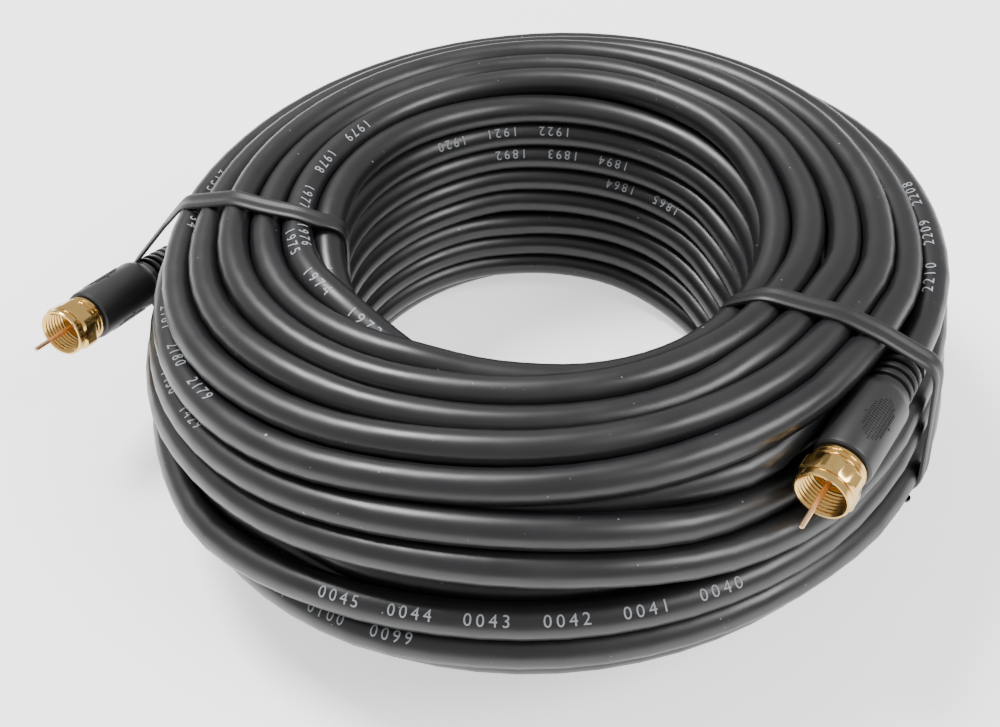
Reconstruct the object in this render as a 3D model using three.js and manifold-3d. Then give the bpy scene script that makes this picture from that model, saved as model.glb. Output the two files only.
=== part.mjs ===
// A hand-wound coil of coaxial aerial lead, lying flat, with a moulded screw-on
// connector on each end and two flat ties that hold the turns together.
// Millimetres, +Z up. The origin is on the floor, under the middle of the whole part.
import * as THREE from 'three';
import { mergeVertices } from 'three/addons/utils/BufferGeometryUtils.js';
import Module from 'manifold-3d';

// The cable and the clearance that pieces keep where they touch.
const cableDiameter = 6.9;
const touchGap = 0.3;

// The coil's section: outer surfaces of its turns, from the bore outwards.
const boreRadius = 45;
const coilHeight = 64;
const footRadius = 83;
const waistRadius = 92;
const waistHeight = 25;
const shoulderRadius = 83.5;
const shoulderHeight = 53;
const crownRadius = 70;
const coilLean = 7;
const coilSides = 36;
const crownHalfAngle = 25;
const valleyShare = 0.35;

// The connector, along its own axis from the boot's front face.
const bootRadius = 5.9;
const bootBodyLength = 19.5;
const bootShoulder = 2;
const reliefLength = 12.5;
const reliefRadius = 4.9;
const reliefEndRadius = 4.3;
const reliefGrooveDepth = 0.7;
const reliefGrooves = 5;
const nutLength = 8.2;
const nutAcrossFlats = 11.1;
const nutCornerRadius = 6.1;
const nutNeckRadius = 5.3;
const nutNeckLength = 2.8;
const nutHexLength = 3.6;
const nutMouthRadius = 5.5;
const nutWeb = 1.6;
const threadRadius = 4.75;
const postRadius = 3.2;
const postWall = 0.6;
const postFlangeRadius = 4.2;
const postFlangeLength = 1;
const conductorRadius = 0.51;
const pinReach = 8;
const jacketInsert = 17;
const turnedSides = 20;

// Where the two connectors lie. Each axis runs along a tangent and rises by an angle.
// The boot's front face is bootFace along from the tangent's foot, at the given height.
// The left one rests outside the widest turns, the right one sits in the shoulder.
const leftEnd = {
  tangentAngle: 155,
  axisRadius: waistRadius + 2.6,
  bootFace: 44.5,
  height: waistHeight + 11.4,
  rise: 13,
  sense: 1,
};
const rightEnd = {
  tangentAngle: -35.6,
  axisRadius: shoulderRadius - 1.1,
  bootFace: 24,
  height: shoulderHeight - 1,
  rise: -1.5,
  sense: -1,
};
const tailSides = 10;
const leftTailStartAngle = 122;
const leftTailArcEnd = 136;
const rightTailStartAngle = 8;
const rightTailArcEnd = -20;
const slotLead = 0.25;

// The ties: flat bands round the section.
const tieWidth = 4.6;
const tieThickness = 1;
const leftTieAngle = 165;
const rightTieAngle = -31.5;

const cableRadius = cableDiameter / 2;
const crownVertexRadius = cableRadius / Math.cos(THREE.MathUtils.degToRad(crownHalfAngle));
const tieClearance = touchGap + crownVertexRadius - cableRadius;

const jacket = new THREE.MeshStandardMaterial({ color: 0x1d1e20, roughness: 0.42, metalness: 0 });
const moulded = new THREE.MeshStandardMaterial({ color: 0x19191a, roughness: 0.6, metalness: 0 });
const gold = new THREE.MeshStandardMaterial({ color: 0xc9a253, roughness: 0.28, metalness: 1 });
const copper = new THREE.MeshStandardMaterial({ color: 0xb9794a, roughness: 0.35, metalness: 1 });
const foam = new THREE.MeshStandardMaterial({ color: 0xe9e6dc, roughness: 0.7, metalness: 0 });
const band = new THREE.MeshStandardMaterial({ color: 0x141415, roughness: 0.5, metalness: 0 });

const wasm = await Module();
wasm.setup();

function toSolid(geometry) {
  const bare = geometry.clone();
  bare.deleteAttribute('normal');
  bare.deleteAttribute('uv');
  const merged = mergeVertices(bare);
  return new wasm.Manifold(new wasm.Mesh({
    numProp: 3,
    vertProperties: new Float32Array(merged.attributes.position.array),
    triVerts: new Uint32Array(merged.index.array),
  }));
}

function toGeometry(solid) {
  const mesh = solid.getMesh();
  const geometry = new THREE.BufferGeometry();
  geometry.setAttribute('position', new THREE.BufferAttribute(mesh.vertProperties, 3));
  geometry.setIndex(new THREE.BufferAttribute(mesh.triVerts, 1));
  geometry.computeVertexNormals();
  return geometry;
}

function polar(radius, degrees) {
  const angle = THREE.MathUtils.degToRad(degrees);
  return new THREE.Vector2(radius * Math.cos(angle), radius * Math.sin(angle));
}

// The upper turns lie further to the right than the lower ones.
function leanAt(height) {
  return coilLean * (height / coilHeight - 0.5);
}

function lean(geometry) {
  const shear = new THREE.Matrix4().makeShear(0, 0, 0, 0, coilLean / coilHeight, 0);
  shear.setPosition(leanAt(0), 0, 0);
  return geometry.applyMatrix4(shear);
}

// A closed profile of (radius, height) points turned about +Z.
function turned(profile, sides) {
  const points = profile.map(([radius, height]) => new THREE.Vector2(radius, height));
  points.push(points[0].clone());
  return new THREE.LatheGeometry(points, sides).rotateX(Math.PI / 2);
}

// Centres of the corner turns of the section, anticlockwise from the bore's foot.
const sectionCorners = [
  [boreRadius + cableRadius, cableRadius],
  [footRadius - cableRadius, cableRadius],
  [waistRadius - cableRadius, waistHeight],
  [shoulderRadius - cableRadius, shoulderHeight],
  [crownRadius - cableRadius, coilHeight - cableRadius],
  [boreRadius + cableRadius, coilHeight - cableRadius],
].map(([radius, height]) => new THREE.Vector2(radius, height));

// Each turn at the surface shows a flat crown, with a valley before the next turn.
function coilProfile() {
  const half = THREE.MathUtils.degToRad(crownHalfAngle);
  const count = sectionCorners.length;
  const edges = sectionCorners.map((start, i) => {
    const end = sectionCorners[(i + 1) % count];
    const along = end.clone().sub(start);
    return { start, end, normal: Math.atan2(-along.x, along.y), length: along.length() };
  });
  const profile = [];
  edges.forEach((edge, i) => {
    const before = edges[(i + count - 1) % count];
    const turns = Math.max(1, Math.round(edge.length / cableDiameter));
    for (let turn = 0; turn < turns; turn += 1) {
      const centre = edge.start.clone().lerp(edge.end, turn / turns);
      const from = (turn === 0 ? before.normal : edge.normal) - half;
      let to = edge.normal + half;
      while (to < from) to += 2 * Math.PI;
      const steps = Math.max(1, Math.round((to - from) / (2 * half)));
      for (let step = 0; step <= steps; step += 1) {
        const angle = from + (to - from) * step / steps;
        const radius = centre.x + crownVertexRadius * Math.cos(angle);
        const height = centre.y + crownVertexRadius * Math.sin(angle);
        profile.push([Math.max(boreRadius, radius), THREE.MathUtils.clamp(height, 0, coilHeight)]);
      }
      const valley = edge.start.clone().lerp(edge.end, (turn + 0.5) / turns);
      profile.push([
        valley.x + valleyShare * cableRadius * Math.cos(edge.normal),
        valley.y + valleyShare * cableRadius * Math.sin(edge.normal),
      ]);
    }
  });
  return profile;
}

// The frame of a connector: its origin is the boot's front face, +Z is the way it points.
function connectorFrame({ tangentAngle, axisRadius, height, bootFace, rise, sense }) {
  const foot = polar(axisRadius, tangentAngle);
  const heading = polar(1, tangentAngle + 90 * sense);
  const slope = polar(1, rise);
  const forward = new THREE.Vector3(heading.x * slope.x, heading.y * slope.x, slope.y);
  const across = new THREE.Vector3(-heading.y, heading.x, 0);
  const basis = new THREE.Matrix4().makeBasis(across, new THREE.Vector3().crossVectors(forward, across), forward);
  return basis.setPosition(foot.x + heading.x * bootFace, foot.y + heading.y * bootFace, height);
}

function onConnector(end, along) {
  return new THREE.Vector3(0, 0, along).applyMatrix4(connectorFrame(end));
}

const reliefEnd = -bootBodyLength - reliefLength;
const jacketEnd = reliefEnd + jacketInsert;
const webStart = touchGap;
const webEnd = webStart + nutWeb;
const nutFront = webStart + nutLength;
const flangeStart = webEnd + touchGap;
const postFront = flangeStart + postFlangeLength;

// The bore takes the cable's jacket at the back and the post's shank further on.
function bootGeometry() {
  const bore = cableRadius + touchGap;
  const profile = [[bore, 0], [bore, reliefEnd], [reliefEndRadius, reliefEnd]];
  const pitch = reliefLength / (reliefGrooves + 0.5);
  const ringLength = pitch / 2;
  for (let groove = 0; groove < reliefGrooves; groove += 1) {
    const start = reliefEnd + ringLength + groove * pitch;
    const share = (groove + 0.5) / reliefGrooves;
    const radius = THREE.MathUtils.lerp(reliefEndRadius, reliefRadius, share);
    profile.push([radius, start], [radius - reliefGrooveDepth, start]);
    profile.push([radius - reliefGrooveDepth, start + pitch - ringLength]);
    profile.push([radius, start + pitch - ringLength]);
  }
  profile.push([reliefRadius, -bootBodyLength], [bootRadius, -bootBodyLength + bootShoulder]);
  profile.push([bootRadius, 0]);
  return turned(profile, turnedSides);
}

function nutGeometry() {
  const hexStart = webStart + nutNeckLength;
  const hexEnd = hexStart + nutHexLength;
  const body = turned([
    [postRadius + touchGap, webStart],
    [nutNeckRadius, webStart],
    [nutNeckRadius, hexStart],
    [nutCornerRadius, hexStart],
    [nutCornerRadius, hexEnd],
    [nutMouthRadius, hexEnd],
    [nutMouthRadius, nutFront],
    [threadRadius, nutFront],
    [threadRadius, webEnd],
    [postRadius + touchGap, webEnd],
  ], turnedSides);
  const cornerToCorner = nutAcrossFlats / Math.sqrt(3);
  const prism = new THREE.CylinderGeometry(cornerToCorner, cornerToCorner, 4 * nutLength, 6).rotateX(Math.PI / 2);
  return toGeometry(toSolid(body).intersect(toSolid(prism)));
}

function postGeometry() {
  return turned([
    [postRadius - postWall, jacketEnd + 2 * touchGap],
    [postRadius, jacketEnd + 2 * touchGap],
    [postRadius, flangeStart],
    [postFlangeRadius, flangeStart],
    [postFlangeRadius, postFront],
    [postRadius - postWall, postFront],
  ], turnedSides);
}

function dielectricGeometry() {
  const outer = postRadius - postWall - touchGap;
  const inner = conductorRadius + touchGap;
  const start = jacketEnd + touchGap;
  return turned([[inner, start], [outer, start], [outer, postFront], [inner, postFront]], turnedSides);
}

function conductorGeometry() {
  const start = jacketEnd + touchGap;
  const length = nutFront + pinReach - start;
  const rod = new THREE.CylinderGeometry(conductorRadius, conductorRadius, length, tailSides);
  return rod.rotateX(Math.PI / 2).translate(0, 0, start + length / 2);
}

function ropeAlong(points, radius) {
  const curve = new THREE.CatmullRomCurve3(points);
  const circle = new THREE.Path().absarc(0, 0, radius, 0, 2 * Math.PI);
  const section = new THREE.Shape(circle.getPoints(tailSides / 2));
  const steps = Math.round(curve.getLength() / cableDiameter);
  return new THREE.ExtrudeGeometry(section, { steps, extrudePath: curve, bevelEnabled: false });
}

// A stretch of one turn at the coil's surface, as points along an arc.
function turnPoints(radius, height, fromAngle, toAngle) {
  const count = 5;
  return Array.from({ length: count }, (_, i) => {
    const at = polar(radius, THREE.MathUtils.lerp(fromAngle, toAngle, i / (count - 1)));
    return new THREE.Vector3(at.x + leanAt(height), at.y, height);
  });
}

function tailPoints(end, radius, height, fromAngle, toAngle) {
  const arc = turnPoints(radius, height, fromAngle, toAngle);
  const straight = [reliefEnd - cableDiameter, reliefEnd, (reliefEnd + jacketEnd) / 2, jacketEnd];
  return [...arc, ...straight.map((along) => onConnector(end, along))];
}

// The left tail leaves the widest turn, and the right tail is the end of the shoulder's turn.
const leftTail = tailPoints(leftEnd, waistRadius - cableRadius, waistHeight, leftTailStartAngle, leftTailArcEnd);
const lastTurnRadius = shoulderRadius - cableRadius;
const rightTail = tailPoints(rightEnd, lastTurnRadius, rightEnd.height, rightTailStartAngle, rightTailArcEnd);

// An arc of the coil's outer side, open outwards, that a tail lies in.
function sideSlot(inner, turnHeight, top, fromAngle, toAngle) {
  const bottom = turnHeight - cableRadius - touchGap;
  const outer = waistRadius + cableDiameter;
  const from = THREE.MathUtils.degToRad(fromAngle);
  const to = THREE.MathUtils.degToRad(toAngle);
  const shape = new THREE.Shape();
  shape.absarc(0, 0, outer, from, to, false);
  shape.absarc(0, 0, inner, to, from, true);
  const slot = new THREE.ExtrudeGeometry(shape, { depth: top - bottom, bevelEnabled: false, curveSegments: 6 });
  return slot.translate(leanAt(turnHeight), 0, bottom);
}

// Room for the left tail, as far as its strain relief.
function leftChannel() {
  const inner = waistRadius - cableDiameter - 2 * touchGap;
  const top = onConnector(leftEnd, reliefEnd).z + cableRadius + touchGap;
  return sideSlot(inner, waistHeight, top, leftTailStartAngle - slotLead, leftTieAngle);
}

// Room for the right tail, open upwards too.
function rightChannel() {
  const inner = lastTurnRadius - cableRadius - 2 * touchGap;
  return sideSlot(inner, rightEnd.height, 2 * coilHeight, rightTieAngle, rightTailStartAngle + slotLead);
}

// Room for the left strain relief and boot where they lie against the coil.
function leftSeat() {
  const radius = bootRadius + touchGap;
  const rod = new THREE.CylinderGeometry(radius, radius, touchGap - reliefEnd, tailSides).rotateX(Math.PI / 2);
  return rod.translate(0, 0, (reliefEnd - touchGap) / 2).applyMatrix4(connectorFrame(leftEnd));
}

// A level seat for the right connector in the coil's shoulder, open upwards and outwards.
function rightSeat() {
  const margin = Math.max(bootRadius, nutCornerRadius) + touchGap;
  const length = nutFront + pinReach + touchGap - reliefEnd + touchGap;
  const width = margin + waistRadius;
  const box = new THREE.BoxGeometry(width, coilHeight, length);
  const middle = (nutFront + pinReach + reliefEnd) / 2;
  box.translate(rightEnd.sense * (margin - width / 2), coilHeight / 2 - margin, middle);
  return box.applyMatrix4(connectorFrame(rightEnd));
}

// A shallow slot under the coil, so that a tie lies level with the lowest turns.
function tieSlot(tieAngle) {
  const length = 2 * (waistRadius - boreRadius);
  const depth = tieThickness + touchGap;
  const box = new THREE.BoxGeometry(length, tieWidth + 2 * touchGap, 2 * depth);
  box.translate((boreRadius + footRadius) / 2, 0, 0).rotateZ(THREE.MathUtils.degToRad(tieAngle));
  return box.translate(leanAt(0), 0, 0);
}

function coilGeometry() {
  const seats = [leftChannel(), leftSeat(), rightChannel(), rightSeat()];
  const cuts = [...seats, tieSlot(leftTieAngle), tieSlot(rightTieAngle)];
  const ring = lean(turned(coilProfile(), coilSides));
  return toGeometry(cuts.reduce((solid, cut) => solid.subtract(toSolid(cut)), toSolid(ring)));
}

// The convex outline round a set of discs, as a tight band would lie on them.
function bandOutline(discs, spread) {
  const samples = 16;
  const points = discs.flatMap(({ at, radius }) => Array.from({ length: samples }, (_, i) => (
    polar(radius + spread, 360 * i / samples).add(at)
  )));
  points.sort((a, b) => a.x - b.x || a.y - b.y);
  const turn = (a, b, c) => (b.x - a.x) * (c.y - a.y) - (b.y - a.y) * (c.x - a.x);
  const chain = (list) => list.reduce((kept, point) => {
    while (kept.length > 1 && turn(kept.at(-2), kept.at(-1), point) <= 0) kept.pop();
    kept.push(point);
    return kept;
  }, []);
  return [...chain(points).slice(0, -1), ...chain([...points].reverse()).slice(0, -1)];
}

// A tie is a closed flat band standing in a plane through the coil's axis.
function tieGeometry(tieAngle, carried) {
  const onTurns = sectionCorners.slice(2).map((at) => ({ at, radius: cableRadius + tieClearance }));
  const underFoot = [boreRadius - tieClearance, footRadius + tieClearance].map((radius) => (
    { at: new THREE.Vector2(radius, tieThickness), radius: 0 }
  ));
  const discs = [...onTurns, ...underFoot, carried];
  const outer = bandOutline(discs, tieThickness).map((point) => point.setY(Math.max(0, point.y)));
  const shape = new THREE.Shape(outer);
  shape.holes.push(new THREE.Path(bandOutline(discs, 0)));
  const ring = new THREE.ExtrudeGeometry(shape, { depth: tieWidth, bevelEnabled: false });
  ring.translate(0, 0, -tieWidth / 2).rotateX(Math.PI / 2).rotateZ(THREE.MathUtils.degToRad(tieAngle));
  return lean(ring);
}

// The strain relief that a tie holds down, where the tie's plane crosses it aslant.
function carriedRelief(end, tieAngle) {
  const aslant = THREE.MathUtils.degToRad((tieAngle - end.tangentAngle) * end.sense);
  const along = end.axisRadius * Math.tan(aslant);
  const height = end.height + (along - end.bootFace) * Math.tan(THREE.MathUtils.degToRad(end.rise));
  const shift = leanAt(height) * Math.cos(THREE.MathUtils.degToRad(tieAngle));
  const spread = tieWidth / 2 * Math.tan(Math.abs(aslant));
  const distance = end.axisRadius / Math.cos(aslant) - shift + spread;
  return { at: new THREE.Vector2(distance, height), radius: reliefRadius / Math.cos(aslant) + 2 * touchGap };
}

const part = new THREE.Group();

function add(name, geometry, material, parent = part) {
  const mesh = new THREE.Mesh(geometry, material);
  mesh.name = name;
  parent.add(mesh);
}

add('cable_coil', coilGeometry(), jacket);
add('cable_tail_a', ropeAlong(leftTail, cableRadius), jacket);
add('cable_tail_b', ropeAlong(rightTail, cableRadius), jacket);
add('tie_a', tieGeometry(leftTieAngle, carriedRelief(leftEnd, leftTieAngle)), band);
add('tie_b', tieGeometry(rightTieAngle, carriedRelief(rightEnd, rightTieAngle)), band);

for (const [side, end] of [['a', leftEnd], ['b', rightEnd]]) {
  const connector = new THREE.Group();
  connector.applyMatrix4(connectorFrame(end));
  add(`boot_${side}`, bootGeometry(), moulded, connector);
  add(`post_${side}`, postGeometry(), gold, connector);
  add(`nut_${side}`, nutGeometry(), gold, connector);
  add(`dielectric_${side}`, dielectricGeometry(), foam, connector);
  add(`conductor_${side}`, conductorGeometry(), copper, connector);
  part.add(connector);
}

// The origin goes on the floor, under the middle of the whole part.
part.updateMatrixWorld(true);
const box = new THREE.Box3().setFromObject(part, true);
const middle = box.getCenter(new THREE.Vector3());
part.position.set(-middle.x, -middle.y, -box.min.z);

export default part;
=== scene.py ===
import math

import bmesh
import bpy
import numpy as np
from mathutils import Matrix, Vector


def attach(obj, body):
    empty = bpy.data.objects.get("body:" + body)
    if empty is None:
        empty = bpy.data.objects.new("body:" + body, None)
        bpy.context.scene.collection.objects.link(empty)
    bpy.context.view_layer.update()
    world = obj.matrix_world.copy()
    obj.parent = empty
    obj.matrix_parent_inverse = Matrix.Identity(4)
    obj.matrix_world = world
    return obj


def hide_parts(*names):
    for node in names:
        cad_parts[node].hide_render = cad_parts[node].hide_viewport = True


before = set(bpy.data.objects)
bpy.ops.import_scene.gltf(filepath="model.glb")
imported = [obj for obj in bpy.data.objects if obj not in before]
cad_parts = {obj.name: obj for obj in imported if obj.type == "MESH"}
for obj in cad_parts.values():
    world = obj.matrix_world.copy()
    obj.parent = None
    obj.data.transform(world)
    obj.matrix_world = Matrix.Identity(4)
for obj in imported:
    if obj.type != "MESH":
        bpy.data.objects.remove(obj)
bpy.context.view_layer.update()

MM = 0.001
# The coil's axis stands here, since the origin is under the middle of the whole part.
axis_x = 10.731

# The camera looks down at the coil from the front, with a slight roll.
camera_target = Vector((axis_x, 0.0, 30.0)) * MM
camera_elevation = math.radians(42.2)
camera_distance = 0.290
camera_roll = math.radians(2.4)

back = Vector((0.0, -math.cos(camera_elevation), math.sin(camera_elevation)))
level_up = Vector((0.0, math.sin(camera_elevation), math.cos(camera_elevation)))
level_right = Vector((1.0, 0.0, 0.0))
up = level_up * math.cos(camera_roll) + level_right * math.sin(camera_roll)
right = level_right * math.cos(camera_roll) - level_up * math.sin(camera_roll)
camera = bpy.data.objects.new("camera", bpy.data.cameras.new("camera"))
camera.data.lens = 44.68
camera.data.sensor_width = 36.0
camera.data.shift_x = -0.0419
camera.data.shift_y = -0.0463
camera.data.dof.use_dof = False
camera.matrix_world = Matrix((
    (right.x, up.x, back.x, camera_target.x + back.x * camera_distance),
    (right.y, up.y, back.y, camera_target.y + back.y * camera_distance),
    (right.z, up.z, back.z, camera_target.z + back.z * camera_distance),
    (0.0, 0.0, 0.0, 1.0),
))
bpy.context.scene.collection.objects.link(camera)
bpy.context.scene.camera = camera

# The cable is one length wound by hand into the coil. Its turns are worked out as discs in
# the coil's section, station by station round the axis, and pushed apart until they rest
# against each other, the connectors and the section's outline.
cable_diameter = 6.9
station_angle = 5.0
stations = 72
turns = 54
first_angle = 161.0
last_angle = -29.0
wound_from = 136.0
section_height = 64.0
section_lean = 7.0
section = np.array([
    (88.2, 26.5), (73.4, 3.45), (48.45, 3.45), (48.45, 60.55), (69.0, 60.55), (81.8, 54.6),
])
section_middle = np.array([66.3, 31.0])
# Each ring of turns inside the section: its share of the outline's size, and its turns.
rings = [(1.0, 24), (0.70, 17), (0.41, 10), (0.12, 3)]
winding = [(0, place) for place in range(9)]
winding += [(1, place) for place in range(5, 15)]
winding += [(2, place) for place in (8, 7, 6, 5)]
winding += [(3, place) for place in (2, 1, 0)]
winding += [(2, place) for place in (4, 3, 2, 1, 0, 9)]
winding += [(1, 16), (1, 15), (0, 22), (0, 23)]
winding += [(1, place) for place in range(5)]
winding += [(0, place) for place in range(9, 22)]
# Where a turn passes between the outline and the inside: its first angle, and over how far.
crossing = {8: (115.0, 80.0), 33: (163.0, 75.0), 35: (10.0, 110.0), 40: (200.0, 100.0)}
# The outermost turns roll round the section by this many turns at the left of the front.
roll_turns = 2.75
roll_from = 236.0
roll_width = 70.0
# Each end's connector: the angle of its axis's foot, the foot's distance from the coil's axis,
# how far along the boot's front face is, its height, its rise and its sense round the coil.
end_a = (155.0, 94.6, 44.5, 36.4, 13.0, 1)
end_b = (-35.6, 82.4, 24.0, 52.0, -1.5, -1)

chain_length = int(round((first_angle - last_angle + 360 * (turns - 1)) / station_angle)) + 1
chain = np.arange(chain_length)
passed = station_angle * chain - (first_angle - wound_from)
turn_of = np.clip(np.floor(passed / 360.0), 0, turns - 1).astype(int)
within = passed - 360.0 * turn_of


def on_ring(ring, place):
    scale, places = rings[ring]
    loop = section_middle + (section - section_middle) * scale
    loop = np.vstack([loop, loop[:1]])
    reach = np.concatenate([[0.0], np.cumsum(np.linalg.norm(np.diff(loop, axis=0), axis=1))])
    at = np.mod(place, places) / places * reach[-1]
    return np.stack([np.interp(at, reach, loop[:, 0]), np.interp(at, reach, loop[:, 1])], axis=-1)


def roll(angle):
    fall = roll_turns / (360.0 - roll_width)
    within_turn = np.mod(angle, 360.0)
    risen = np.clip((within_turn - roll_from) / roll_width, 0.0, 1.0)
    risen = risen * risen * (3.0 - 2.0 * risen)
    falling = np.minimum(within_turn, roll_from) + np.maximum(within_turn - roll_from - roll_width, 0.0)
    return angle / 360.0 - fall * falling + roll_turns * risen


chance = np.random.default_rng(7)
wished = np.zeros((chain_length, 2))
for turn in range(turns):
    here = np.where(turn_of == turn)[0]
    angle = within[here]
    ring, place = winding[turn]
    following, next_place = winding[min(turn + 1, turns - 1)]
    start, width = crossing.get(turn, (40.0 + 160.0 * chance.random(), 130.0))
    share = np.clip((angle - start) / width, 0.0, 1.0)
    share = (share * share * (3.0 - 2.0 * share))[:, None]
    if ring == 0:
        own = on_ring(0, place + roll(angle))
    else:
        own = on_ring(ring, np.full(len(here), float(place)))
    if ring == 0 and following == 0:
        wished[here] = own
    elif ring == following:
        places = rings[ring][1]
        change = (next_place - place + places / 2) % places - places / 2
        wished[here] = on_ring(ring, place + change * share[:, 0])
    elif following == 0:
        wished[here] = own * (1 - share) + on_ring(0, next_place + roll(angle - 360.0)) * share
    else:
        other = on_ring(following, np.full(len(here), float(next_place)))
        wished[here] = own * (1 - share) + other * share

# A hand never lays two turns quite alike, so each wanders a little.
inward = section_middle - wished
inward /= np.linalg.norm(inward, axis=1)[:, None] + 1e-6
sideways = np.stack([-inward[:, 1], inward[:, 0]], axis=1)
drift = np.zeros(chain_length)
dip = np.zeros(chain_length)
for wave in range(60):
    period = chance.uniform(70.0, 420.0)
    drift += np.sin(2 * np.pi * (passed / period + chance.random())) / math.sqrt(30)
    dip += np.sin(2 * np.pi * (passed / period + chance.random())) / math.sqrt(30)
wished += sideways * (0.9 * drift)[:, None] + inward * (0.6 * np.abs(dip))[:, None]

# The ends are pinned where they run into the connectors, which keep the other turns away.
radians_at = np.radians(first_angle - station_angle * chain)
pinned = np.concatenate([np.arange(6), np.arange(chain_length - 2, chain_length)])
pins = np.array([
    (95.47, 28.4), (95.1, 26.5), (93.8, 25.6), (91.9, 25.1), (89.9, 25.0), (88.55, 25.0),
    (81.4, 52.6), (81.0, 52.8),
])
places_all = np.full((turns * stations, 2), 0.0)
places_all[:chain_length] = wished
# The stations past the cable's end are parked far from the coil.
spare = np.arange(chain_length, turns * stations)
parked_radius = 900.0
places_all[spare] = (parked_radius, 0.0)
keep_out = []
for foot_angle, reach_radius, face, height, rise, sense in (end_a, end_b):
    for along in range(-30, 18, 2):
        flat = face + along * math.cos(math.radians(rise))
        angle = foot_angle + sense * math.degrees(math.atan2(flat, reach_radius))
        level = height + along * math.sin(math.radians(rise))
        distance = math.hypot(flat, reach_radius)
        shift = section_lean * (level / section_height - 0.5)
        distance -= shift * math.cos(math.radians(angle))
        thick = 4.9 if along < -19.5 else (6.1 if along < 9 else 0.5)
        keep_out.append(((first_angle - angle) / station_angle % stations, distance, level, thick))

edge_dir = np.roll(section, -1, axis=0) - section
edge_dir /= np.linalg.norm(edge_dir, axis=1)[:, None]
edge_out = np.stack([-edge_dir[:, 1], edge_dir[:, 0]], axis=1)
apart = cable_diameter - 0.03
connector_gap = 0.3
push_share = 0.42
rounds = 420
# The pull toward the wished places fades, and the pushes between the turns settle the rest.
for step in range(rounds):
    hold = 0.12 * max(0.0, 1.0 - step / (0.75 * rounds)) + 0.004 * (step < 0.9 * rounds)
    line = places_all[:chain_length]
    line += hold * (wished - line)
    smooth = 0.35 if step < 0.9 * rounds else 0.15
    line[1:-1] += smooth * (0.5 * (line[:-2] + line[2:]) - line[1:-1])
    line[pinned] = pins
    for _ in range(2):
        grid = places_all.reshape(turns, stations, 2)
        gap = grid[:, None] - grid[None, :]
        size = np.sqrt((gap ** 2).sum(axis=-1)) + 1e-9
        push = np.where((size < apart) & (size > 1e-6), (apart - size) / size, 0.0)
        grid += (gap * push[..., None]).sum(axis=1) * push_share
        for at, distance, level, thick in keep_out:
            low = int(math.floor(at)) % stations
            for col in (low, (low + 1) % stations):
                span = grid[:, col] - np.array([distance, level])
                far = np.sqrt((span ** 2).sum(axis=-1)) + 1e-9
                need = thick + cable_diameter / 2 + connector_gap
                grid[:, col] += span * (np.where(far < need, (need - far) / far, 0.0))[:, None]
        flat = grid.reshape(-1, 2)
        for origin, out in zip(section, edge_out):
            over = (flat[:chain_length] - origin) @ out
            flat[:chain_length] -= np.maximum(over, 0.0)[:, None] * out
        places_all = flat.copy()
        places_all[pinned] = pins
        places_all[spare] = (parked_radius, 0.0)

wound = places_all[:chain_length]
lean_shift = section_lean * (wound[:, 1] / section_height - 0.5)
route = np.stack([
    wound[:, 0] * np.cos(radians_at) + lean_shift,
    wound[:, 0] * np.sin(radians_at),
    wound[:, 1],
], axis=1)


def connector_axis(foot_angle, reach_radius, face, height, rise, sense):
    foot = math.radians(foot_angle)
    heading = foot + sense * math.pi / 2
    slope = math.radians(rise)
    origin = np.array([
        reach_radius * math.cos(foot) + face * math.cos(heading),
        reach_radius * math.sin(foot) + face * math.sin(heading),
        height,
    ])
    forward = np.array([
        math.cos(heading) * math.cos(slope), math.sin(heading) * math.cos(slope), math.sin(slope),
    ])
    return origin, forward


origin_a, forward_a = connector_axis(*end_a)
origin_b, forward_b = connector_axis(*end_b)
inside_a = [origin_a + forward_a * along for along in (-15.0, -20.0, -26.0, -31.0)]
inside_b = [origin_b + forward_b * along for along in (-30.0, -25.0, -20.0, -15.0)]
route = np.vstack([inside_a, route, inside_b]) + np.array([axis_x, 0.0, 0.0])
steps = np.linalg.norm(np.diff(route, axis=0), axis=1)
reach = np.concatenate([[0.0], np.cumsum(steps)])

sides = 14
ahead = np.gradient(route, axis=0)
ahead /= np.linalg.norm(ahead, axis=1)[:, None]
outward = route - np.array([axis_x, 0.0, 0.0])
outward[:, 2] = 0.0
outward -= ahead * (outward * ahead).sum(axis=1)[:, None]
outward /= np.linalg.norm(outward, axis=1)[:, None]
above = np.cross(ahead, outward)
around = np.linspace(0.0, 2 * np.pi, sides, endpoint=False)
skin = (
    route[:, None]
    + cable_diameter / 2 * np.cos(around)[None, :, None] * outward[:, None]
    + cable_diameter / 2 * np.sin(around)[None, :, None] * above[:, None]
)
faces = []
for at in range(len(route) - 1):
    for side in range(sides):
        beside = (side + 1) % sides
        faces.append((at * sides + side, (at + 1) * sides + side,
                      (at + 1) * sides + beside, at * sides + beside))
faces.append(tuple(range(sides)))
faces.append(tuple((len(route) - 1) * sides + side for side in range(sides))[::-1])
cable_mesh = bpy.data.meshes.new("cable")
cable_mesh.from_pydata((skin.reshape(-1, 3) * MM).tolist(), [], faces)
cable_mesh.polygons.foreach_set("use_smooth", [True] * len(faces))
cable_mesh.update()
cable = bpy.data.objects.new("cable", cable_mesh)
bpy.context.scene.collection.objects.link(cable)

jacket = bpy.data.materials.new("jacket")
jacket.use_nodes = True
shader = jacket.node_tree.nodes["Principled BSDF"]
shader.inputs["Base Color"].default_value = (0.008, 0.008, 0.009, 1.0)
shader.inputs["Roughness"].default_value = 0.3
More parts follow.
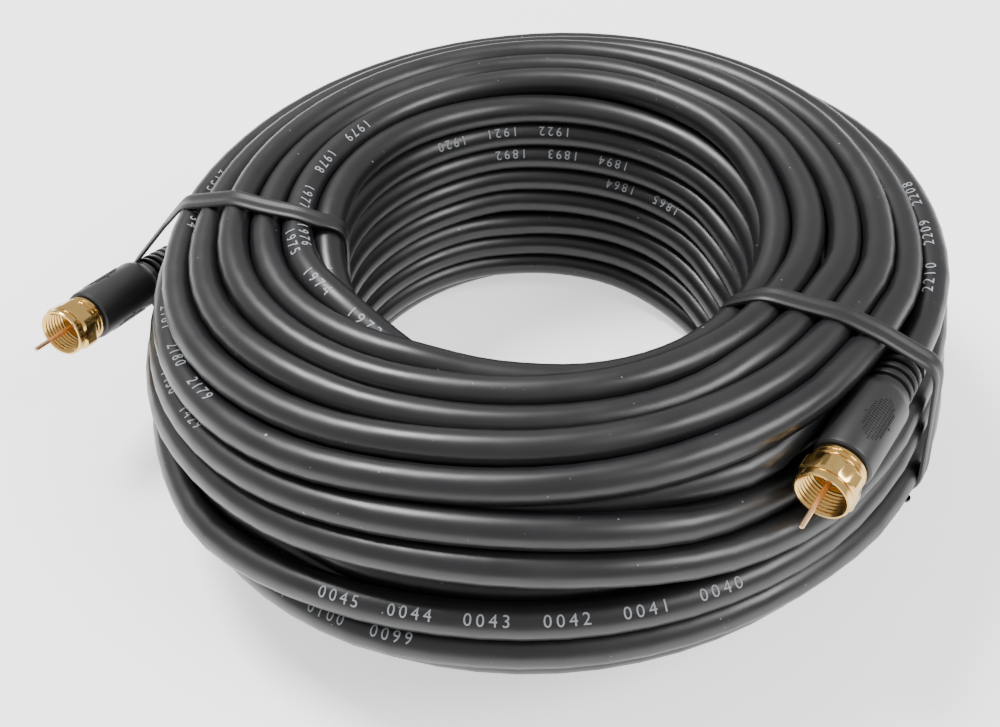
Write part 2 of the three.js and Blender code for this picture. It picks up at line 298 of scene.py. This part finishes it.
# Small pale dust specks and a slightly uneven gloss, as on a handled jacket.
nodes = jacket.node_tree.nodes
links = jacket.node_tree.links
place = nodes.new("ShaderNodeTexCoord")
specks = nodes.new("ShaderNodeTexNoise")
specks.inputs["Scale"].default_value = 1000.0
specks.inputs["Detail"].default_value = 2.0
cut = nodes.new("ShaderNodeMapRange")
cut.inputs["From Min"].default_value = 0.755
cut.inputs["From Max"].default_value = 0.81
dust = nodes.new("ShaderNodeMix")
dust.data_type = "RGBA"
dust.inputs[6].default_value = (0.008, 0.008, 0.009, 1.0)
dust.inputs[7].default_value = (0.3, 0.3, 0.29, 1.0)
wear = nodes.new("ShaderNodeTexNoise")
wear.inputs["Scale"].default_value = 90.0
wear.inputs["Detail"].default_value = 4.0
gloss = nodes.new("ShaderNodeMapRange")
gloss.inputs["From Min"].default_value = 0.3
gloss.inputs["From Max"].default_value = 0.7
gloss.inputs["To Min"].default_value = 0.31
gloss.inputs["To Max"].default_value = 0.43
links.new(place.outputs["Object"], specks.inputs["Vector"])
links.new(place.outputs["Object"], wear.inputs["Vector"])
links.new(specks.outputs[0], cut.inputs["Value"])
links.new(cut.outputs["Result"], dust.inputs["Factor"])
links.new(dust.outputs[2], shader.inputs["Base Color"])
links.new(wear.outputs[0], gloss.inputs["Value"])
links.new(gloss.outputs["Result"], shader.inputs["Roughness"])
cable_mesh.materials.append(jacket)
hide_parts("cable_coil", "cable_tail_a", "cable_tail_b")
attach(cable, "coil")

# Both ends carry the same moulded boot, turned nut and bare centre wire. Each is a profile of
# (radius, distance from the boot's front face) turned about the connector's own axis.
boot_radius = 5.9
boot_back = -19.5
relief_back = -32.0
relief_rings = 5
relief_pitch = 12.5 / 5.5
nut_flat = 5.55
nut_corner = 6.15
turned_steps = 72

boot_plastic = bpy.data.materials.new("boot")
boot_plastic.use_nodes = True
shader = boot_plastic.node_tree.nodes["Principled BSDF"]
shader.inputs["Base Color"].default_value = (0.012, 0.012, 0.012, 1.0)
shader.inputs["Roughness"].default_value = 0.42
gold = bpy.data.materials.new("nut")
gold.use_nodes = True
shader = gold.node_tree.nodes["Principled BSDF"]
shader.inputs["Base Color"].default_value = (0.70, 0.45, 0.15, 1.0)
shader.inputs["Metallic"].default_value = 1.0
shader.inputs["Roughness"].default_value = 0.2
copper = bpy.data.materials.new("conductor")
copper.use_nodes = True
shader = copper.node_tree.nodes["Principled BSDF"]
shader.inputs["Base Color"].default_value = (0.78, 0.47, 0.27, 1.0)
shader.inputs["Metallic"].default_value = 1.0
shader.inputs["Roughness"].default_value = 0.3
foam = bpy.data.materials.new("dielectric")
foam.use_nodes = True
shader = foam.node_tree.nodes["Principled BSDF"]
shader.inputs["Base Color"].default_value = (0.75, 0.72, 0.66, 1.0)
shader.inputs["Roughness"].default_value = 0.6

boot_profile = [(3.5, 0.0), (3.5, relief_back), (3.9, relief_back), (4.2, relief_back + 0.3)]
for ring in range(relief_rings):
    ring_end = relief_back + relief_pitch / 2 + ring * relief_pitch
    wide = 4.3 + 0.6 * (ring + 0.5) / relief_rings
    boot_profile += [
        (wide, ring_end - 0.25), (wide - 0.2, ring_end), (wide - 0.95, ring_end + 0.12),
        (wide - 0.95, ring_end + relief_pitch / 2 - 0.12),
        (wide - 0.1, ring_end + relief_pitch / 2), (wide + 0.05, ring_end + relief_pitch / 2 + 0.25),
    ]
boot_profile += [
    (4.95, boot_back), (5.45, boot_back + 1.0), (5.78, boot_back + 1.7),
    (boot_radius, boot_back + 2.6), (boot_radius, -0.9), (5.8, -0.4), (5.5, -0.08), (5.1, 0.0),
]
nut_profile = [
    (3.5, 0.3), (4.9, 0.3), (5.25, 0.5), (5.3, 1.0), (5.05, 1.15), (5.05, 1.45), (5.3, 1.6),
    (5.3, 2.1), (5.05, 2.25), (5.05, 2.6), (5.3, 2.75), (5.35, 3.05), (nut_corner, 3.5),
    (nut_corner, 6.3), (5.45, 6.7), (5.2, 6.8), (5.2, 7.1), (5.5, 7.25), (5.5, 8.25), (5.35, 8.5),
    (5.0, 8.5), (4.85, 8.35),
]
for thread in range(7):
    crest = 8.1 - thread * 0.85
    nut_profile += [(4.55, crest), (4.55, crest - 0.15), (4.85, crest - 0.42), (4.85, crest - 0.6)]
nut_profile += [(4.7, 1.95), (3.5, 1.9)]
pin_profile = [(0.0, 16.5), (0.32, 16.5), (0.51, 16.25), (0.51, 0.0), (0.51, -14.6), (0.0, -14.6)]

around_turned = np.linspace(0.0, 2 * np.pi, turned_steps, endpoint=False)
hex_reach = nut_flat / np.cos((around_turned + np.pi / 6) % (np.pi / 3) - np.pi / 6)
connectors = {}
for side, origin, forward in (("a", origin_a, forward_a), ("b", origin_b, forward_b)):
    across = np.array([-forward[1], forward[0], 0.0])
    across /= np.linalg.norm(across)
    upright = np.cross(forward, across)
    connectors[side] = (origin + np.array([axis_x, 0.0, 0.0]), across, upright, forward)
    for piece, profile, material, body, closed in (
        ("boot", boot_profile, boot_plastic, "coil", True),
        ("nut", nut_profile, gold, f"nut_{side}", True),
        ("conductor", pin_profile, copper, "coil", False),
    ):
        points = []
        for radius, along in profile:
            reach_out = np.full(turned_steps, radius)
            if piece == "nut" and 3.0 < along < 6.75 and radius > 5.2:
                reach_out = np.minimum(reach_out, hex_reach)
            ring_points = (
                connectors[side][0] + along * forward
                + (reach_out * np.cos(around_turned))[:, None] * across
                + (reach_out * np.sin(around_turned))[:, None] * upright
            )
            points.append(ring_points)
        points = np.vstack(points)
        spans = len(profile) if closed else len(profile) - 1
        quads = []
        for at in range(spans):
            other = (at + 1) % len(profile)
            for step in range(turned_steps):
                beside = (step + 1) % turned_steps
                quads.append((at * turned_steps + step, at * turned_steps + beside,
                              other * turned_steps + beside, other * turned_steps + step))
        mesh = bpy.data.meshes.new(f"{piece}_look_{side}")
        mesh.from_pydata((points * MM).tolist(), [], quads)
        shape = bmesh.new()
        shape.from_mesh(mesh)
        bmesh.ops.remove_doubles(shape, verts=shape.verts, dist=1e-7)
        bmesh.ops.recalc_face_normals(shape, faces=shape.faces)
        shape.to_mesh(mesh)
        shape.free()
        mesh.polygons.foreach_set("use_smooth", [True] * len(mesh.polygons))
        mesh.set_sharp_from_angle(angle=math.radians(28))
        mesh.materials.append(material)
        look = bpy.data.objects.new(f"{piece}_look_{side}", mesh)
        bpy.context.scene.collection.objects.link(look)
        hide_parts(f"{piece}_{side}")
        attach(look, body)
    for piece, material in (("post", gold), ("dielectric", foam)):
        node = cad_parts[f"{piece}_{side}"]
        node.data.materials.clear()
        node.data.materials.append(material)

# An oval patch of fine raised dashes is moulded into two sides of each boot, as a grip.
# A node tree spreads the dashes over a flat oval, which is then wrapped round the boot.
dash_length = 0.95
dash_width = 0.32
patch_half_length = 5.4
patch_half_width = 2.9
grip = bpy.data.node_groups.new("grip dashes", "GeometryNodeTree")
grip.interface.new_socket("Geometry", in_out="OUTPUT", socket_type="NodeSocketGeometry")
across_count = grip.interface.new_socket("Dashes across", in_out="INPUT", socket_type="NodeSocketInt")
along_count = grip.interface.new_socket("Dashes along", in_out="INPUT", socket_type="NodeSocketInt")
entry = grip.nodes.new("NodeGroupInput")
leave = grip.nodes.new("NodeGroupOutput")
spread = grip.nodes.new("GeometryNodeMeshGrid")
spread.inputs["Size X"].default_value = 2 * patch_half_length
spread.inputs["Size Y"].default_value = 2 * patch_half_width
spot = grip.nodes.new("GeometryNodeInputPosition")
shrink = grip.nodes.new("ShaderNodeVectorMath")
shrink.operation = "DIVIDE"
shrink.inputs[1].default_value = (patch_half_length, patch_half_width, 1.0)
size_of = grip.nodes.new("ShaderNodeVectorMath")
size_of.operation = "LENGTH"
outside = grip.nodes.new("FunctionNodeCompare")
outside.operation = "GREATER_THAN"
outside.inputs[1].default_value = 1.0
trim = grip.nodes.new("GeometryNodeDeleteGeometry")
dash = grip.nodes.new("GeometryNodeMeshCube")
dash.inputs["Size"].default_value = (dash_width, dash_length * 0.45, 0.3)
lay = grip.nodes.new("GeometryNodeInstanceOnPoints")
real = grip.nodes.new("GeometryNodeRealizeInstances")
paint = grip.nodes.new("GeometryNodeSetMaterial")
paint.inputs["Material"].default_value = boot_plastic
for start, finish in (
    (entry.outputs["Dashes along"], spread.inputs["Vertices X"]),
    (entry.outputs["Dashes across"], spread.inputs["Vertices Y"]),
    (spot.outputs[0], shrink.inputs[0]),
    (shrink.outputs[0], size_of.inputs[0]),
    (size_of.outputs["Value"], outside.inputs[0]),
    (spread.outputs["Mesh"], trim.inputs["Geometry"]),
    (outside.outputs[0], trim.inputs["Selection"]),
    (trim.outputs["Geometry"], lay.inputs["Points"]),
    (dash.outputs["Mesh"], lay.inputs["Instance"]),
    (lay.outputs["Instances"], real.inputs["Geometry"]),
    (real.outputs["Geometry"], paint.inputs["Geometry"]),
    (paint.outputs["Geometry"], leave.inputs[0]),
):
    grip.links.new(start, finish)
for side, lead in (("a", math.pi / 2), ("b", -0.25)):
    origin, across, upright, forward = connectors[side]
    middle = origin - 9.5 * forward
    to_eye = np.array(camera.matrix_world.translation) / MM - middle
    facing = math.atan2(to_eye @ upright, to_eye @ across) + lead
    for face, turn_by in (("near", 0.0), ("far", math.pi)):
        blank = bpy.data.meshes.new(f"grip_{face}_{side}")
        holder = bpy.data.objects.new(f"grip_holder_{face}_{side}", blank)
        bpy.context.scene.collection.objects.link(holder)
        spreader = holder.modifiers.new("dashes", "NODES")
        spreader.node_group = grip
        spreader[along_count.identifier] = 19
        spreader[across_count.identifier] = 9
        bpy.context.view_layer.update()
        settled = holder.evaluated_get(bpy.context.evaluated_depsgraph_get())
        mesh = bpy.data.meshes.new_from_object(settled)
        holder.modifiers.remove(spreader)
        bpy.data.objects.remove(holder)
        flat_points = np.array([vertex.co for vertex in mesh.vertices])
        swing = facing + turn_by + flat_points[:, 1] / boot_radius
        reach_out = (boot_radius - 0.02 + np.maximum(flat_points[:, 2], -0.1))[:, None]
        wrapped = (
            middle + flat_points[:, :1] * forward
            + reach_out * (np.cos(swing)[:, None] * across + np.sin(swing)[:, None] * upright)
        )
        mesh.vertices.foreach_set("co", (wrapped * MM).ravel())
        mesh.update()
        mesh.materials.clear()
        mesh.materials.append(boot_plastic)
        look = bpy.data.objects.new(f"grip_{face}_{side}", mesh)
        bpy.context.scene.collection.objects.link(look)
        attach(look, "coil")

# Two flat ties hold the turns. Each follows the turns under it, stands off where it bridges
# to the connector's relief, and ends in a short twist of its two tails.
band_section = [
    (-2.3, -0.45), (-2.3, 0.1), (-1.95, 0.38), (-1.1, 0.45), (-0.5, 0.15), (0.5, 0.15),
    (1.1, 0.45), (1.95, 0.38), (2.3, 0.1), (2.3, -0.45),
]
band_step = 1.2
tail_length = 11.0
tail_radius = 0.85
tail_twists = 1.6
band_plastic = bpy.data.materials.new("tie")
band_plastic.use_nodes = True
shader = band_plastic.node_tree.nodes["Principled BSDF"]
shader.inputs["Base Color"].default_value = (0.008, 0.008, 0.008, 1.0)
shader.inputs["Roughness"].default_value = 0.45
station_grid = places_all.reshape(turns, stations, 2)
for side, outer_angle, bore_turn, held in (
    ("a", 168.0, 15.0, (96.9, 31.0, 5.4)), ("b", -32.5, -7.5, (82.9, 52.8, 4.9)),
):
    discs = [held]
    outer_col = int(round((first_angle - outer_angle) / station_angle)) % stations
    for strand in range(turns):
        radius = station_grid[strand, outer_col, 0]
        if radius == parked_radius:
            continue
        turned_by = bore_turn * min(1.0, max(0.0, (90.0 - radius) / 40.0))
        col = int(round((first_angle - outer_angle - turned_by) / station_angle)) % stations
        radius, level = station_grid[strand, col]
        if radius < parked_radius:
            discs.append((radius, level, cable_diameter / 2 + 0.5))
    ring = np.linspace(0.0, 2 * np.pi, 40, endpoint=False)
    cloud = sorted(
        (r + reach_out * math.cos(a), max(z + reach_out * math.sin(a), 0.5))
        for r, z, reach_out in discs for a in ring
    )
    hull = []
    for way in (cloud, cloud[::-1]):
        chain_part = []
        for point in way:
            while len(chain_part) > 1 and (
                (chain_part[-1][0] - chain_part[-2][0]) * (point[1] - chain_part[-2][1])
                - (chain_part[-1][1] - chain_part[-2][1]) * (point[0] - chain_part[-2][0])
            ) <= 0:
                chain_part.pop()
            chain_part.append(point)
        hull += chain_part[:-1]
    hull = np.array(hull)
    loop = np.vstack([hull, hull[:1]])
    far = np.concatenate([[0.0], np.cumsum(np.linalg.norm(np.diff(loop, axis=0), axis=1))])
    count = int(far[-1] / band_step)
    at = np.linspace(0.0, far[-1], count, endpoint=False)
    loop = np.stack([np.interp(at, far, loop[:, 0]), np.interp(at, far, loop[:, 1])], axis=1)
    for _ in range(3):
        loop = 0.5 * loop + 0.25 * (np.roll(loop, 1, axis=0) + np.roll(loop, -1, axis=0))
    angle = np.radians(outer_angle + bore_turn * np.clip((90.0 - loop[:, 0]) / 40.0, 0.0, 1.0))
    spine = np.stack([
        loop[:, 0] * np.cos(angle) + axis_x + section_lean * (loop[:, 1] / section_height - 0.5),
        loop[:, 0] * np.sin(angle), loop[:, 1],
    ], axis=1)
    onward = np.roll(spine, -1, axis=0) - np.roll(spine, 1, axis=0)
    onward /= np.linalg.norm(onward, axis=1)[:, None]
    flat_dir = np.roll(loop, -1, axis=0) - np.roll(loop, 1, axis=0)
    flat_dir /= np.linalg.norm(flat_dir, axis=1)[:, None]
    away = np.stack([
        flat_dir[:, 1] * np.cos(angle), flat_dir[:, 1] * np.sin(angle), -flat_dir[:, 0],
    ], axis=1)
    away -= onward * (away * onward).sum(axis=1)[:, None]
    away /= np.linalg.norm(away, axis=1)[:, None]
    wide = np.cross(onward, away)
    corners = np.array(band_section)
    points = (
        spine[:, None] + corners[None, :, :1] * wide[:, None] + corners[None, :, 1:] * away[:, None]
    ).reshape(-1, 3)
    quads = []
    for place in range(count):
        other = (place + 1) % count
        for corner in range(len(corners)):
            beside = (corner + 1) % len(corners)
            quads.append((place * len(corners) + corner, place * len(corners) + beside,
                          other * len(corners) + beside, other * len(corners) + corner))
    points[:, 2] = np.maximum(points[:, 2], 0.0)
    mesh = bpy.data.meshes.new(f"tie_look_{side}")
    mesh.from_pydata((points * MM).tolist(), [], quads)
    mesh.polygons.foreach_set("use_smooth", [True] * len(quads))
    mesh.set_sharp_from_angle(angle=math.radians(35))
    mesh.materials.append(band_plastic)
    look = bpy.data.objects.new(f"tie_look_{side}", mesh)
    bpy.context.scene.collection.objects.link(look)
    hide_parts(f"tie_{side}")
    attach(look, "coil")

    # The twist of the two tails hangs on the outer side, below the held relief.
    low = np.argmin(np.abs(loop[:, 1] - 21.0) + 50.0 * (loop[:, 0] < 70.0))
    knot = spine[low] + away[low] * 0.9
    down = onward[low] if onward[low][2] < 0 else -onward[low]
    beside_dir = np.cross(down, away[low])
    for tail in (0, 1):
        curve = bpy.data.curves.new(f"tie_tail_{side}_{tail}", "CURVE")
        curve.dimensions = "3D"
        curve.bevel_depth = tail_radius * MM
        curve.bevel_resolution = 3
        spline = curve.splines.new("POLY")
        steps = 26
        spline.points.add(steps)
        for step in range(steps + 1):
            share = step / steps
            swing = 2 * math.pi * tail_twists * min(share, 0.6) / 0.6 + math.pi * tail
            spread = tail_radius + 3.0 * max(0.0, share - 0.6)
            point = knot + down * (tail_length * share) + away[low] * (0.9 + 0.5 * math.sin(swing))
            point = point + beside_dir * spread * math.cos(swing)
            spline.points[step].co = (*(point * MM).tolist(), 1.0)
        wire = bpy.data.objects.new(f"tie_tail_{side}_{tail}", curve)
        bpy.context.scene.collection.objects.link(wire)
        curve.materials.append(band_plastic)
        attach(wire, "coil")

# The cable's length in centimetres is printed along the jacket here and there, in plain digits.
# Each mark has its angle, its radius and height in the section, where the nearest turn takes
# it, and its number of groups.
ink = bpy.data.materials.new("print")
ink.use_nodes = True
shader = ink.node_tree.nodes["Principled BSDF"]
shader.inputs["Base Color"].default_value = (0.26, 0.27, 0.29, 1.0)
shader.inputs["Roughness"].default_value = 0.6
digit_height = 2.4
size_over_digit = 1.35
print_lift = 0.03
slice_height = 0.35
eye = np.array(camera.matrix_world.translation) / MM
arc_at = reach[4:4 + chain_length]
marks = [
    (-118.0, 86.0, 31.0, 6), (-140.0, 86.0, 20.0, 4), (-168.0, 87.0, 42.0, 3), (-178.0, 84.0, 50.0, 4),
    (160.0, 79.0, 54.0, 2), (-20.0, 83.0, 50.0, 3), (18.0, 82.0, 52.0, 3), (80.0, 48.4, 50.0, 3),
    (62.0, 48.4, 43.0, 3), (40.0, 48.4, 36.0, 2), (140.0, 52.0, 60.5, 4), (-175.0, 55.0, 60.5, 3),
    (-165.0, 48.4, 55.0, 2),
]
for number, (start_angle, spot_radius, spot_height, groups) in enumerate(marks):
    col = int(round((first_angle - start_angle) / station_angle)) % stations
    strand = np.argmin(np.linalg.norm(station_grid[:, col] - (spot_radius, spot_height), axis=1))
    first = strand * stations + col
    if first >= chain_length:
        continue
    text = bpy.data.curves.new(f"digits_{number}", "FONT")
    text.body = "  ".join(f"{int(arc_at[first] / 10) - group:04d}" for group in range(groups))
    text.size = digit_height * size_over_digit * MM
    text.space_character = 1.4
    text.space_word = 2.0
    text.resolution_u = 3
    holder = bpy.data.objects.new(f"digits_{number}", text)
    bpy.context.scene.collection.objects.link(holder)
    bpy.context.view_layer.update()
    mesh = bpy.data.meshes.new_from_object(holder.evaluated_get(bpy.context.evaluated_depsgraph_get()))
    bpy.data.objects.remove(holder)
    shape = bmesh.new()
    shape.from_mesh(mesh)
    for level in np.arange(-0.5, 4.5, slice_height):
        bmesh.ops.bisect_plane(
            shape, geom=list(shape.verts) + list(shape.edges) + list(shape.faces),
            plane_co=(0.0, level * MM, 0.0), plane_no=(0.0, 1.0, 0.0),
        )
    flat_points = np.array([vertex.co for vertex in shape.verts]) / MM
    shape.to_mesh(mesh)
    shape.free()
    where = arc_at[first] - flat_points[:, 0]
    index = np.interp(where, reach, np.arange(len(reach)))
    base = np.floor(index).astype(int)
    part = (index - base)[:, None]
    centre = route[base] * (1 - part) + route[base + 1] * part
    out_dir = outward[base] * (1 - part) + outward[base + 1] * part
    up_dir = above[base] * (1 - part) + above[base + 1] * part
    to_eye = eye - centre.mean(axis=0)
    facing = math.atan2(to_eye @ up_dir.mean(axis=0), to_eye @ out_dir.mean(axis=0))
    lift = cable_diameter / 2 + print_lift
    swing = facing + (flat_points[:, 1] - digit_height / 2) / (cable_diameter / 2)
    wrapped = centre + lift * (np.cos(swing)[:, None] * out_dir + np.sin(swing)[:, None] * up_dir)
    mesh.vertices.foreach_set("co", (wrapped * MM).ravel())
    mesh.update()
    mesh.materials.clear()
    mesh.materials.append(ink)
    row = bpy.data.objects.new(f"digits_{number}", mesh)
    bpy.context.scene.collection.objects.link(row)
    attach(row, "coil")

# A plain pale floor and soft light from a large panel on each side.
floor = bpy.data.objects.new("floor", bpy.data.meshes.new("floor"))
floor.data.from_pydata([(-4, -4, 0), (4, -4, 0), (4, 4, 0), (-4, 4, 0)], [], [(0, 1, 2, 3)])
floor.location = (0.0, 0.0, -0.0005)
bpy.context.scene.collection.objects.link(floor)
paper = bpy.data.materials.new("paper")
paper.use_nodes = True
paper.node_tree.nodes["Principled BSDF"].inputs["Base Color"].default_value = (0.95, 0.95, 0.95, 1.0)
paper.node_tree.nodes["Principled BSDF"].inputs["Roughness"].default_value = 0.9
paper.node_tree.nodes["Principled BSDF"].inputs["Emission Color"].default_value = (1.0, 1.0, 1.0, 1.0)
paper.node_tree.nodes["Principled BSDF"].inputs["Emission Strength"].default_value = 1.0
floor.data.materials.append(paper)
world = bpy.data.worlds.new("studio")
bpy.context.scene.world = world
world.use_nodes = True
world.node_tree.nodes["Background"].inputs["Color"].default_value = (1.0, 1.0, 1.0, 1.0)
world.node_tree.nodes["Background"].inputs["Strength"].default_value = 0.75
for name, place, size, power in (
    ("key", (-0.35, 0.25, 0.9), 0.3, 15.0), ("fill", (0.6, -0.3, 0.7), 0.35, 7.0),
):
    lamp = bpy.data.objects.new(name, bpy.data.lights.new(name, "AREA"))
    lamp.data.size = size
    lamp.data.energy = power
    lamp.location = place
    lamp.rotation_mode = "QUATERNION"
    lamp.rotation_quaternion = (camera_target - Vector(place)).to_track_quat("-Z", "Y")
    bpy.context.scene.collection.objects.link(lamp)
